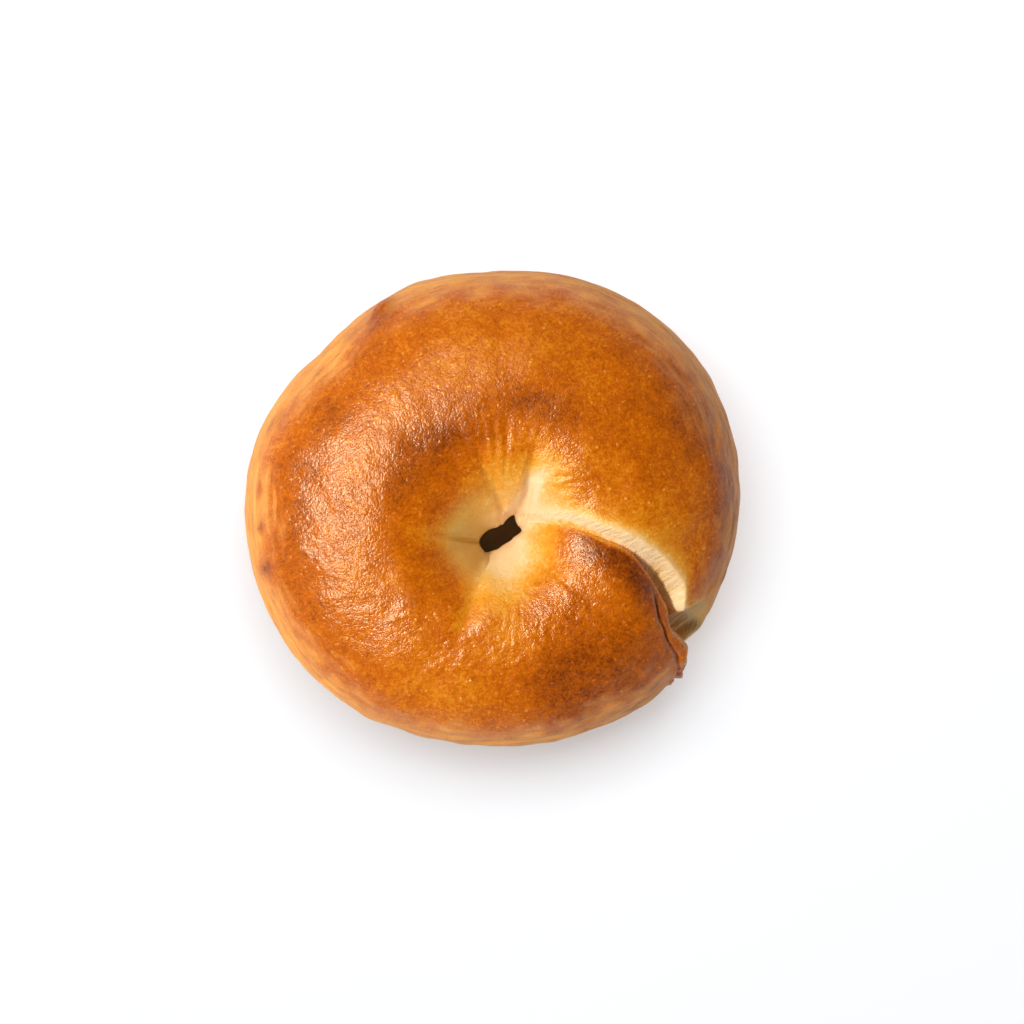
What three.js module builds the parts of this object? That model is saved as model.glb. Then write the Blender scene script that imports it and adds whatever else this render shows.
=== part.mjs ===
// A baked bagel: one rope of dough wound into a ring, with its head end lapped over its tail end.
//
// Every length is in millimetres, +Z is up, and the bagel rests on the plane z = 0. Inside the
// program a place is given by its bearing (degrees, counter-clockwise seen from above, 0 along +X)
// and its distance from the middle of the hole. +X runs along the hole's long way. At the end the
// ring is moved so that the origin lies under the middle of its bounding box.
//
// The skin is a closed grid. A row runs round the ring from the fold back to the fold, and the
// rows follow each other round the rope's section:
//   0 to 1  outer wall, from the waist up to the crest
//   1 to 2  funnel, from the crest down to the throat of the hole
//   2 to 3  lower funnel, from the throat out to the flat base
//   3 to 4  flat base
//   4 to 5  lower edge, from the base out to the waist
import * as THREE from 'three';

// Outline seen from above: an ellipse round a middle that the hole is off.
const HALF_LONG = 58.9;
const HALF_SHORT = 56.6;
const LONG_BEARING = -29;
const HOLE_ALONG = 1.8; // hole from the ellipse's middle, along its long axis
const HOLE_ACROSS = -6.45; // and across it

// Where the outline swells or is flattened: bearing, half width in degrees, outward mm.
const RIM_SWELLS = [
  { name: 'shoulder of the fat side', at: 20, spread: 33, out: 2.5 },
  { name: 'slight flat on the fat side', at: 64, spread: 10, out: -0.6 },
  { name: 'flat beside it', at: 104, spread: 18, out: -2.3 },
  { name: 'thin side', at: 190, spread: 26, out: 0.9 },
  { name: 'below the thin side', at: 252, spread: 14, out: 0.5 },
  { name: 'shoulder of the head end', at: 284, spread: 17, out: 1.9 },
];

// The hole is a slot that the swollen dough has pinched, with a lump and slack corners.
const HOLE_HALF_LENGTH = 5.45;
const HOLE_HALF_WIDTH = 2.5;
const HOLE_SQUARENESS = 2.4;
const HOLE_SWELLS = [
  { name: 'slack corner by the lump', at: 27, spread: 9, out: 1.4 },
  { name: 'lump', at: 1, spread: 13, out: -0.72 },
  { name: 'corner where the fold starts', at: 342, spread: 7, out: 0.35 },
  { name: 'side beside that corner', at: 322, spread: 10, out: -0.3 },
  { name: 'side beside the slack corner', at: 46, spread: 8, out: -0.4 },
  { name: 'golden lobe', at: 75, spread: 38, out: -0.6 },
  { name: 'slack corner at the far end', at: 203, spread: 9, out: 0.7 },
  { name: 'side of the head', at: 228, spread: 16, out: 0.38 },
];

// Section of the rope.
const CREST_HEIGHT = 38.6;
const CREST_TILT = 1.5; // higher by this on the fat side, lower by it opposite
const FAT_BEARING = 61;
const CREST_SHARE = 0.45; // crest's distance from the hole, as a share of the rim's
const WAIST_HEIGHT = 17;
const THROAT_HEIGHT = 15;
const BASE_INNER = 14; // flat base, from this distance out to EDGE_ROUND short of the rim
const EDGE_ROUND = 15;
const OUTER_SQUARENESS = 1.95;
const FUNNEL_SQUARENESS = 1.95;

// The fold. Its bearing winds back as it runs out from the hole.
const FOLD_START = 8;
const FOLD_START_BEARING = -3;
const FOLD_HOOK = 12; // quick turn next to the hole, degrees
const FOLD_HOOK_REACH = 3;
const FOLD_WIND = 1.03; // steady turn, degrees a millimetre
const FOLD_WANDER = [ // mm off that line, at places round the section
  [0, -2.2], [0.15, -1.2], [0.28, -0.7], [0.44, -2.1], [0.54, -0.75], [0.65, -0.4], [0.77, -0.1],
  [0.86, 0.05], [1.05, -0.7], [1.16, -0.5], [1.38, 0.1], [1.6, 0], [4, 0], [4.8, -2.8], [5, -2.2],
];

// Sizes across the fold, at places round the section (0 to 5 as above).
const STEP = [ // how much lower the tail is than the head
  [0, 2.4], [0.3, 4.8], [0.45, 6.2], [0.65, 5.4], [1, 3.3], [1.15, 2.2],
  [1.3, 1], [1.42, 0.3], [1.52, 0.1], [2, 0.1], [3, 0.4], [4, 1.2], [5, 2.4],
];
const RISE_LENGTH = [
  [0, 8], [0.2, 6.5], [0.4, 4.6], [0.48, 6.8], [0.64, 5.9], [0.83, 4.8], [0.92, 4.2],
  [1.2, 3.8], [1.4, 3.2], [1.6, 2.4], [2, 1.2], [3, 3], [4, 4], [4.8, 7], [5, 8],
];
const HOLLOW_EDGE = [[0, 0.6], [0.7, 0.6], [0.95, 0.15], [1.2, 0], [4, 0], [5, 0.6]]; // 1 is sharp
const OVERHANG = [[0, 1.2], [0.5, 1.4], [1, 1], [1.3, 0.6], [1.48, 0.05], [2, 0.05], [4, 0.5], [5, 1.2]];
const HEAD_ROUNDING = [[0, 7], [0.7, 8], [1, 6], [1.5, 3], [2, 1.2], [3, 3], [4, 5], [5, 7]];
const HEAD_DROP = [ // what the head's top gives before the lip
  [0, -0.5], [0.2, -0.5], [0.4, 1], [0.6, 2], [1, 1.3], [1.3, 0.5], [1.45, 0.1], [4, 0.3], [5, -0.5],
];
const LIP_FROM = 20; // lip's round, from this angle to the next
const LIP_TO = 150;

// The head's edge is pressed into a thin flange near the outer wall, set off by a groove.
const FLANGE_WIDTH = [[0, 2.3], [0.23, 1.9], [0.43, 1.5], [0.56, 2.75], [0.68, 0.9], [4, 0.3], [5, 2.3]];
const FLANGE_DROP = [[0, -0.5], [0.25, 0], [0.45, 0.5], [1, 0.5], [4, 0.3], [4.85, 0.2], [5, -0.5]];
const GROOVE_DEPTH = 0.7;
const GROOVE_WIDTH = 0.6;
const CRAGS = [ // torn points of the flange: place, half width in places, extra reach in mm
  { at: 0.2, half: 0.06, out: 1.8 },
  { at: 0.02, half: 0.05, out: 2.4 },
];
const CRAG_CURL = 0.3; // a crag's tip lifts by this share of its reach
const CRAG_CURL_REACH = 1.2;
const RAGS = [ // notch and point of the flange's outer end: mm behind the lip, half width, rise
  { behind: 0.3, half: 0.6, rise: -0.9 },
  { behind: 3.3, half: 0.7, rise: 0.6 },
];
const RAG_REACH = 0.12; // in places, either way from the waist

// The tail's wall stands back under the head, and breaks off at a ledge below the hollow.
const TAIL_RECESS = 1.6;
const TAIL_RECESS_REACH = 30;
const LEDGE_PLACE = 0.58;
const LEDGE_FALL = 0.033; // places lower for each mm away from the fold
const LEDGE_DROP = 3;
const LEDGE_REACH = 12;

// Low swellings of the dough round the hole: bearing, distance, spread and rise in mm.
const LUMPS = [
  { name: 'pale lobe', at: 18, out: 15, spread: 6.5, rise: 1 },
  { name: 'golden lobe', at: 66, out: 17, spread: 6, rise: 0.5 },
  { name: 'far lobe', at: 236, out: 17, spread: 6, rise: 0.5 },
];

// Soft creases that run up the funnel: bearing = end - swing * exp(-(r - start) / reach).
const CREASES = [
  { name: 'pale lobe', end: 43, swing: 33, start: 6.6, reach: 7, depth: 1.2, width: 2.2, until: 25 },
  { name: 'golden lobe', end: 76, swing: 28, start: 4.9, reach: 5, depth: 0.9, width: 1.6, until: 26 },
  { name: 'crack', end: 150, swing: -19, start: 5.5, reach: 4, depth: 0.8, width: 0.9, until: 17 },
  { name: 'soft valley', end: 221, swing: 13, start: 5.8, reach: 7, depth: 1.0, width: 1.8, until: 30 },
];

// Fineness of the grid.
const ROWS = [20, 17, 5, 3, 9]; // rows in each of the five stretches
const RING_COLUMNS = 68;
const TAIL_STATIONS = [0, 0.12, 0.26, 0.42, 0.6, 0.8, 1, 1.25, 1.6]; // shares of RISE_LENGTH
const HEAD_STATIONS = [1.8, 1.4, 1.05, 0.8, 0.6, 0.45, 0.32, 0.2, 0.09]; // shares of HEAD_ROUNDING
const LIP_STEPS = 4;

const CRUST_BROWN = 0xd0741c;
const CRUST_ROUGHNESS = 0.42;

const DEG = Math.PI / 180;

function eased(from, to, value) {
  const t = Math.min(1, Math.max(0, (value - from) / (to - from)));
  return t * t * (3 - 2 * t);
}

// A value given at a few places round the section, eased from one to the next.
function along(keys, place) {
  const next = keys.findIndex(([at]) => at >= place);
  if (next <= 0) return keys[0][1];
  const [from, low] = keys[next - 1];
  const [to, high] = keys[next];
  return low + (high - low) * eased(from, to, place);
}

// A soft hump, 1 in its middle.
function hump(distance, spread) {
  return Math.exp(-((distance / spread) ** 2));
}

// Signed degrees from one bearing to another, -180 to 180.
function turnBetween(from, to) {
  return ((((to - from + 180) % 360) + 360) % 360) - 180;
}

function swelling(bearing, swells) {
  return swells.reduce((sum, s) => sum + s.out * hump(turnBetween(s.at, bearing), s.spread), 0);
}

// Distance from the hole to the outline on a bearing.
function rimAt(bearing) {
  const angle = (bearing - LONG_BEARING) * DEG;
  const [x, y] = [Math.cos(angle) / HALF_LONG, Math.sin(angle) / HALF_SHORT];
  const [hx, hy] = [HOLE_ALONG / HALF_LONG, HOLE_ACROSS / HALF_SHORT];
  const a = x * x + y * y;
  const b = x * hx + y * hy;
  const c = hx * hx + hy * hy - 1;
  return (Math.sqrt(b * b - a * c) - b) / a + swelling(bearing, RIM_SWELLS);
}

// Distance from the hole's middle to its edge, at the throat.
function throatAt(bearing) {
  const x = Math.abs(Math.cos(bearing * DEG)) / HOLE_HALF_LENGTH;
  const y = Math.abs(Math.sin(bearing * DEG)) / HOLE_HALF_WIDTH;
  const slot = (x ** HOLE_SQUARENESS + y ** HOLE_SQUARENESS) ** (-1 / HOLE_SQUARENESS);
  return slot + swelling(bearing, HOLE_SWELLS);
}

// The rope's plain section on a bearing: distance from the hole and height.
function sectionAt(bearing, place) {
  const rim = rimAt(bearing);
  const throat = throatAt(bearing);
  const crest = CREST_SHARE * rim;
  const top = CREST_HEIGHT + CREST_TILT * Math.cos((bearing - FAT_BEARING) * DEG);
  const baseOuter = rim - EDGE_ROUND;
  const turn = (place - Math.floor(place)) * 90 * DEG;
  const [sine, cosine] = [Math.sin(turn), Math.cos(turn)];
  const outer = 2 / OUTER_SQUARENESS;
  const inner = 2 / FUNNEL_SQUARENESS;
  if (place < 1) {
    return [crest + (rim - crest) * cosine ** outer,
      WAIST_HEIGHT + (top - WAIST_HEIGHT) * sine ** outer];
  }
  if (place < 2) {
    return [crest - (crest - throat) * sine ** inner,
      THROAT_HEIGHT + (top - THROAT_HEIGHT) * cosine ** inner];
  }
  if (place < 3) {
    return [BASE_INNER - (BASE_INNER - throat) * cosine, THROAT_HEIGHT * (1 - sine)];
  }
  if (place < 4) {
    return [BASE_INNER + (baseOuter - BASE_INNER) * (place - 3), 0];
  }
  return [baseOuter + (rim - baseOuter) * sine ** outer, WAIST_HEIGHT * (1 - cosine ** outer)];
}

function plainPoint(bearing, place) {
  const [r, z] = sectionAt(bearing, ((place % 5) + 5) % 5);
  return new THREE.Vector3(r * Math.cos(bearing * DEG), r * Math.sin(bearing * DEG), z);
}

// Outward normal of the plain section.
function outward(bearing, place) {
  const [db, dp] = [0.5, 0.01];
  const round = plainPoint(bearing + db, place).sub(plainPoint(bearing - db, place));
  const up = plainPoint(bearing, place + dp).sub(plainPoint(bearing, place - dp));
  return round.cross(up).normalize();
}

// Bearing of the fold at a distance from the hole; inside FOLD_START it stays put.
function foldAt(r) {
  const past = r - FOLD_START;
  const run = (past + Math.sqrt(past * past + 4)) / 2;
  return FOLD_START_BEARING - FOLD_HOOK * (1 - Math.exp(-run / FOLD_HOOK_REACH)) - FOLD_WIND * run;
}

// The fold's bearing at a place round the section, and the degrees of bearing to 1 mm across it.
function foldOn(place) {
  let bearing = -30;
  let r = 0;
  for (let pass = 0; pass < 12; pass += 1) {
    r = sectionAt(bearing, place)[0];
    bearing = foldAt(r);
  }
  const slant = (foldAt(r + 0.1) - foldAt(r - 0.1)) / 0.2;
  const degreesPerMm = Math.hypot(1, r * slant * DEG) / (r * DEG);
  return { bearing: bearing + along(FOLD_WANDER, place) * degreesPerMm, degreesPerMm };
}

// Signed places past the waist, -2.5 to 2.5.
function pastWaist(place) {
  return ((place + 2.5) % 5) - 2.5;
}

// 1 near the outer wall, where the head's edge is a flange, and 0 elsewhere.
function flangeAt(place) {
  return place < 2 ? 1 - eased(0.6, 0.7, place) : eased(4.7, 4.9, place);
}

// Extra overhang of the crags.
function tornAt(place) {
  const past = pastWaist(place);
  return CRAGS.reduce((sum, c) => sum + c.out * Math.max(0, 1 - Math.abs(past - c.at) / c.half), 0);
}

// Height of the head's top near the lip, as millimetres above the plain section.
function headHeight(behind, place) {
  const bend = Math.max(0, 1 - behind / along(HEAD_ROUNDING, place));
  const width = along(FLANGE_WIDTH, place);
  const pressed = along(FLANGE_DROP, place) * (1 - eased(width - 0.4, width + 0.4, behind));
  const groove = GROOVE_DEPTH * hump(behind - width, GROOVE_WIDTH);
  const curled = CRAG_CURL * tornAt(place) * hump(behind, CRAG_CURL_REACH);
  const ragged = RAGS.reduce((sum, rag) => sum + rag.rise * hump(behind - rag.behind, rag.half), 0);
  return curled + ragged * hump(pastWaist(place), RAG_REACH)
    - along(HEAD_DROP, place) * bend * bend - (pressed + groove) * flangeAt(place);
}

// Columns that cross the fold, each as [across, height]: millimetres square to the fold, positive
// on the tail's side, and millimetres above the plain section.
function tailColumns(place) {
  const rise = along(RISE_LENGTH, place);
  const contact = along(OVERHANG, place) * (Math.sin(LIP_TO * DEG) - Math.sin(LIP_FROM * DEG));
  const edge = along(HOLLOW_EDGE, place);
  return TAIL_STATIONS.map((share) => {
    const t = Math.min(1, share);
    const risen = edge * t * t + (1 - edge) * t * t * (3 - 2 * t);
    return [contact + share * (rise - contact), -along(STEP, place) * (1 - risen)];
  });
}

function headColumns(place) {
  const rounding = along(HEAD_ROUNDING, place);
  return HEAD_STATIONS.map((share) => [-share * rounding, headHeight(share * rounding, place)]);
}

function lipColumns(place) {
  const reach = along(OVERHANG, place) + tornAt(place);
  const top = headHeight(0, place);
  const fall = (top + along(STEP, place)) / (Math.cos(LIP_FROM * DEG) - Math.cos(LIP_TO * DEG));
  const columns = [];
  for (let step = 0; step < LIP_STEPS; step += 1) {
    const angle = (LIP_FROM + ((LIP_TO - LIP_FROM) * step) / LIP_STEPS) * DEG;
    columns.push([reach * (Math.sin(angle) - Math.sin(LIP_FROM * DEG)),
      top - fall * (Math.cos(LIP_FROM * DEG) - Math.cos(angle))]);
  }
  return columns;
}

// Depth of the funnel's creases below the plain section.
function creaseDepth(bearing, r, place) {
  if (place < 0.9 || place > 2) return 0;
  return CREASES.reduce((depth, crease) => {
    const middle = crease.end - crease.swing * Math.exp(-Math.max(0, r - crease.start) / crease.reach);
    const aside = turnBetween(middle, bearing) * DEG * r;
    const fade = (1 - eased(0.6 * crease.until, crease.until, r)) * (1 - eased(1.8, 2, place));
    return depth + crease.depth * fade * hump(aside, crease.width * (0.5 + r / 20));
  }, 0);
}

// How far the tail's wall stands back, at so many mm round the ring from the fold.
function recessDepth(round, place) {
  const wall = place < 2 ? 1 - eased(0.4, 1, place) : eased(4, 4.8, place);
  return TAIL_RECESS * wall * hump(round, TAIL_RECESS_REACH);
}

// Drop of the tail's wall below the ledge that ends the hollow.
function ledgeDrop(across, place) {
  if (across <= 0 || place > 1) return 0;
  const below = LEDGE_PLACE - LEDGE_FALL * across - place;
  const fade = eased(0, 0.12, place) * (1 - eased(LEDGE_REACH / 2, LEDGE_REACH, across));
  return LEDGE_DROP * eased(-0.01, 0.07, below) * fade;
}

function lumpRise(bearing, r, place) {
  if (place >= 2) return 0;
  return LUMPS.reduce((sum, lump) => {
    const aside = turnBetween(lump.at, bearing) * DEG * lump.out;
    return sum + lump.rise * hump(Math.hypot(aside, r - lump.out), lump.spread);
  }, 0);
}

// One row of the skin, from the foot of the fold round the ring to the lip. A column's turn is in
// degrees on from the fold.
function rowAt(place) {
  const { bearing: foldBearing, degreesPerMm } = foldOn(place);
  const fromFold = ([across, height]) => ({ turn: across * degreesPerMm, height });
  const tail = tailColumns(place).map(fromFold);
  const head = [...headColumns(place), ...lipColumns(place)].map(fromFold);
  head.forEach((column) => { column.turn += 360; });
  const [start, end] = [tail[tail.length - 1].turn, head[0].turn];
  const ring = [];
  for (let step = 1; step < RING_COLUMNS; step += 1) {
    ring.push({ turn: start + ((end - start) * step) / RING_COLUMNS, height: 0 });
  }
  return [...tail, ...ring, ...head].map(({ turn, height }) => {
    const bearing = foldBearing + turn;
    const r = sectionAt(bearing, place)[0];
    const across = turn < 180 ? turn / degreesPerMm : 0;
    const raised = height + lumpRise(bearing, r, place) - creaseDepth(bearing, r, place)
      - recessDepth(turn * DEG * r, place) - ledgeDrop(across, place);
    return plainPoint(bearing, place).addScaledVector(outward(bearing, place), raised);
  });
}

// The closed skin: each row joined to the next, the last to the first, and each row to itself.
function skinGeometry() {
  const places = ROWS.flatMap((count, stretch) =>
    Array.from({ length: count }, (_, row) => stretch + row / count));
  const rows = places.map(rowAt);
  const columns = rows[0].length;
  const positions = rows.flat().flatMap((point) => point.toArray());
  const triangles = [];
  rows.forEach((_, row) => {
    const above = (row + 1) % rows.length;
    for (let column = 0; column < columns; column += 1) {
      const beside = (column + 1) % columns;
      const [a, b] = [row * columns + column, row * columns + beside];
      const [c, d] = [above * columns + beside, above * columns + column];
      triangles.push(a, b, c, a, c, d);
    }
  });
  const geometry = new THREE.BufferGeometry();
  geometry.setAttribute('position', new THREE.Float32BufferAttribute(positions, 3));
  geometry.setIndex(triangles);
  geometry.computeBoundingBox();
  const middle = geometry.boundingBox.getCenter(new THREE.Vector3());
  geometry.translate(-middle.x, -middle.y, 0);
  geometry.computeVertexNormals();
  return geometry;
}

const crust = new THREE.MeshStandardMaterial({ color: CRUST_BROWN, roughness: CRUST_ROUGHNESS });
const bagel = new THREE.Mesh(skinGeometry(), crust);
bagel.name = 'bagel';

const group = new THREE.Group();
group.add(bagel);

export default group;
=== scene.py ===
# %% [markdown]
# # A baked bagel
#
# A bagel is one rope of dough, wound into a ring and closed by lapping its head end over its tail
# end. Boiling swells it until the hole is nearly shut, and baking browns the crust. The part's
# exact solid comes from model.glb. This lesson covers it with a fine skin of the same form, and
# finishes that skin as a real crust: browned, wrinkled, blistered, and pale where the dough was
# stretched or shaded.
#
# First the imported model is loaded.

# %% Load the imported model
import math

import bpy
import numpy as np
from mathutils import Euler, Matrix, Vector, noise


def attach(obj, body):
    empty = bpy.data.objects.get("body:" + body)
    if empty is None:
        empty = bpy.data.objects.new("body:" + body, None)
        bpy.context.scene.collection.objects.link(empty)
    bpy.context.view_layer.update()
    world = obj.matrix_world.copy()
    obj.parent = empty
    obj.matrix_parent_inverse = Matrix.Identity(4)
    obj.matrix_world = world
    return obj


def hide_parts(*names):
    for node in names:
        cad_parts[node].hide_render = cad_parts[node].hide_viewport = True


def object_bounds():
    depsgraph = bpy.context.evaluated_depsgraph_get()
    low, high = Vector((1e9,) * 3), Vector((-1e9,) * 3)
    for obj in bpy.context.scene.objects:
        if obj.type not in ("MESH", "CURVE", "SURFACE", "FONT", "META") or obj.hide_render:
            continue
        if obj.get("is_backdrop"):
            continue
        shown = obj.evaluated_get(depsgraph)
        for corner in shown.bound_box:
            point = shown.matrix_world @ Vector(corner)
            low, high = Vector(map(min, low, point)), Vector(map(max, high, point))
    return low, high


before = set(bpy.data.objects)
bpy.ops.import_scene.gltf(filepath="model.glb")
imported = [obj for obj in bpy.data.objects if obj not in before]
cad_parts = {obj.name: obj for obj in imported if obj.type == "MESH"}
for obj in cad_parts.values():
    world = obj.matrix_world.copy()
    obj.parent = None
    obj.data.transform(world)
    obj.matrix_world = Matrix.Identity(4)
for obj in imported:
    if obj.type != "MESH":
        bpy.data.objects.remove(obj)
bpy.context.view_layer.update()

# %% [markdown]
# ## Units and small helpers
#
# The form is worked out in millimetres, in rows and columns of a grid, and every helper takes a
# whole array at once. A place on the ring is given by its bearing (degrees, counter-clockwise
# seen from above) and its distance from the middle of the hole. A place round the rope's section
# is a number: 0 to 1 is the outer wall from the waist up to the crest, 1 to 2 the funnel from
# the crest down to the throat, 2 to 3 the lower funnel, 3 to 4 the flat base, and 4 to 5 the
# lower edge back to the waist.

# %% Helpers
MM = 0.001
DEG = math.pi / 180


def eased(low, high, value):
    """0 at low, 1 at high, with soft ends; low may be the larger of the two."""
    t = np.clip((value - low) / (high - low), 0, 1)
    return t * t * (3 - 2 * t)


def hump(distance, spread):
    """1 at distance 0, falling softly to nothing at about twice the spread."""
    return np.exp(-((distance / spread) ** 2))


def along(keys, place):
    """A value given at a few places round the section, eased from one to the next."""
    at, value = np.array(keys, float).T
    cell = np.clip(np.searchsorted(at, place, side="right") - 1, 0, len(at) - 2)
    part = eased(at[cell], at[cell + 1], place)
    return value[cell] + (value[cell + 1] - value[cell]) * part


def turn_between(start, end):
    """Signed degrees from one bearing to another, -180 to 180."""
    return (end - start + 180) % 360 - 180


def swelling(bearing, swells):
    """Sum of soft swells on a circle, each given by bearing, half width in degrees and mm."""
    return sum(out * hump(turn_between(at, bearing), spread) for at, spread, out in swells)


# %% [markdown]
# ## The outline and the hole
#
# Seen from above the bagel is nearly an ellipse, with the hole well off its middle: the rope is
# fat on one side and thin on the other. A few named swells and flats make it as uneven as dough
# that rose on a crowded tray. The distance to the rim on a bearing is where a ray from the hole
# meets the ellipse, which is a quadratic equation. The hole is a slot that the swollen dough has
# pinched, with a lump on one end and slack corners.

# %% Outline and hole
HALF_LONG, HALF_SHORT = 58.9, 56.6
LONG_BEARING = -29
HOLE_ALONG, HOLE_ACROSS = 1.8, -6.45
RIM_SWELLS = (
    (20, 33, 2.5),  # shoulder of the fat side
    (64, 10, -0.6),  # slight flat on the fat side
    (104, 18, -2.3),  # flat beside it
    (190, 26, 0.9),  # thin side
    (252, 14, 0.5),  # below the thin side
    (284, 17, 1.9),  # shoulder of the head end
    (130, 9, 0.3), (205, 9, 0.2), (262, 9, 0.3), (338, 15, -0.3),  # small ones
)
HOLE_HALF_LENGTH, HOLE_HALF_WIDTH, HOLE_SQUARENESS = 5.45, 2.5, 2.4
HOLE_SWELLS = (
    (27, 9, 1.4),  # slack corner by the lump
    (1, 13, -0.72),  # lump
    (342, 7, 0.35),  # corner where the fold starts
    (322, 10, -0.3),
    (46, 8, -0.4),
    (75, 38, -0.6),  # the golden lobe swells in
    (203, 9, 0.7),  # slack corner at the far end
    (228, 16, 0.38),  # head's side
)


def rim_at(bearing):
    """Distance from the hole's middle to the rim, in mm."""
    angle = (bearing - LONG_BEARING) * DEG
    x, y = np.cos(angle) / HALF_LONG, np.sin(angle) / HALF_SHORT
    hx, hy = HOLE_ALONG / HALF_LONG, HOLE_ACROSS / HALF_SHORT
    a, b, c = x * x + y * y, x * hx + y * hy, hx * hx + hy * hy - 1
    return (np.sqrt(b * b - a * c) - b) / a + swelling(bearing, RIM_SWELLS)


def throat_at(bearing):
    """Distance from the hole's middle to its wall, in mm."""
    x = np.abs(np.cos(bearing * DEG)) / HOLE_HALF_LENGTH
    y = np.abs(np.sin(bearing * DEG)) / HOLE_HALF_WIDTH
    slot = (x**HOLE_SQUARENESS + y**HOLE_SQUARENESS) ** (-1 / HOLE_SQUARENESS)
    return slot + swelling(bearing, HOLE_SWELLS)


# %% [markdown]
# ## The section of the rope
#
# A rope that rose on a tray has a flat base, a round edge, a waist where it is widest, a crest,
# and a funnel that falls to the throat of the hole. Each stretch is a quarter of a superellipse,
# an ellipse whose exponent makes it fuller or leaner.

# %% Section
CREST_HEIGHT, CREST_TILT, FAT_BEARING = 38.6, 1.5, 61
CREST_SHARE = 0.45
WAIST_HEIGHT, THROAT_HEIGHT = 17, 15
BASE_INNER, EDGE_ROUND = 14, 15
OUTER_SQUARENESS, FUNNEL_SQUARENESS = 1.95, 1.95


def section_at(bearing, place):
    """Distance from the hole and height of the plain rope, both in mm."""
    place = place % 5 + 0 * bearing
    rim, throat = rim_at(bearing), throat_at(bearing)
    crest, base_outer = CREST_SHARE * rim, rim - EDGE_ROUND
    top = CREST_HEIGHT + CREST_TILT * np.cos((bearing - FAT_BEARING) * DEG)
    turn = place % 1 * 90 * DEG
    sine, cosine = np.sin(turn), np.cos(turn)
    outer, inner = 2 / OUTER_SQUARENESS, 2 / FUNNEL_SQUARENESS
    stretch = [np.floor(place) == count for count in range(4)]
    r = np.select(
        stretch,
        [
            crest + (rim - crest) * cosine**outer,
            crest - (crest - throat) * sine**inner,
            BASE_INNER - (BASE_INNER - throat) * cosine,
            BASE_INNER + (base_outer - BASE_INNER) * (place - 3),
        ],
        base_outer + (rim - base_outer) * sine**outer,
    )
    z = np.select(
        stretch,
        [
            WAIST_HEIGHT + (top - WAIST_HEIGHT) * sine**outer,
            THROAT_HEIGHT + (top - THROAT_HEIGHT) * cosine**inner,
            THROAT_HEIGHT * (1 - sine),
            0 * place,
        ],
        WAIST_HEIGHT * (1 - cosine**outer),
    )
    return r, z


def plain_points(bearing, place):
    """Points of the plain rope, with the hole's middle at the origin, in mm."""
    r, z = section_at(bearing, place)
    return np.stack([r * np.cos(bearing * DEG), r * np.sin(bearing * DEG), z], -1)


def normal_to(one_way, other_way):
    """Unit normals of a surface, from steps along it in two directions."""
    across = np.cross(one_way, other_way)
    return across / np.linalg.norm(across, axis=-1, keepdims=True)


def plain_normals(bearing, place):
    """Outward normals of the plain rope, from two short steps over its surface."""
    round_ring = plain_points(bearing + 0.5, place) - plain_points(bearing - 0.5, place)
    up_section = plain_points(bearing, place + 0.01) - plain_points(bearing, place - 0.01)
    return normal_to(round_ring, up_section)


# %% [markdown]
# ## Where the fold runs
#
# The head end lies over the tail end along a line that curves back as it runs out from the hole.
# Its bearing is a formula of the distance, so it is also known underneath, where the fold runs
# back to the hole.

# %% Fold line
FOLD_START, FOLD_START_BEARING = 8, -3
FOLD_HOOK, FOLD_HOOK_REACH, FOLD_WIND = 12, 3, 1.03
FOLD_SOFTNESS = 2  # mm over which the winding sets in
FOLD_GUESS, FOLD_ROUNDS = -30.0, 12  # bearing to start from, and rounds that come closer
FOLD_WANDER = (  # place and mm
    (0, -2.2), (0.15, -1.2), (0.28, -0.7), (0.44, -2.1), (0.54, -0.75), (0.65, -0.4), (0.77, -0.1),
    (0.86, 0.05), (1.05, -0.7), (1.16, -0.5), (1.38, 0.1), (1.6, 0), (4, 0), (4.8, -2.8), (5, -2.2),
)


def fold_bearing(r):
    """Bearing of the fold at a distance from the hole's middle, before it wanders."""
    past = r - FOLD_START
    run = (past + np.sqrt(past * past + FOLD_SOFTNESS**2)) / 2
    return FOLD_START_BEARING - FOLD_HOOK * (1 - np.exp(-run / FOLD_HOOK_REACH)) - FOLD_WIND * run


def fold_on(place):
    """Bearing of the fold at each place, and the degrees of bearing to 1 mm across it."""
    bearing = np.full_like(place, FOLD_GUESS)
    for _ in range(FOLD_ROUNDS):
        r, _height = section_at(bearing, place)
        bearing = fold_bearing(r)
    slant = (fold_bearing(r + 0.1) - fold_bearing(r - 0.1)) / 0.2
    degrees_per_mm = np.hypot(1, r * slant * DEG) / (r * DEG)
    return bearing + along(FOLD_WANDER, place) * degrees_per_mm, degrees_per_mm


# %% [markdown]
# ## The shape across the fold
#
# Cut square to the fold, the head's top rounds down, turns under in a blunt lip and meets the
# tail a few millimetres lower. The tail then rises in a stretched hollow back to the full form.
# The columns of the grid crowd together here, so that the lip can overhang: a height map could
# not hold an overhang. Near the outer wall the lip ends in a thin flange, set off by a groove
# and torn into small crags.
#
# The tables give a value at a few places round the section, in mm unless a comment says otherwise.

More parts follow.
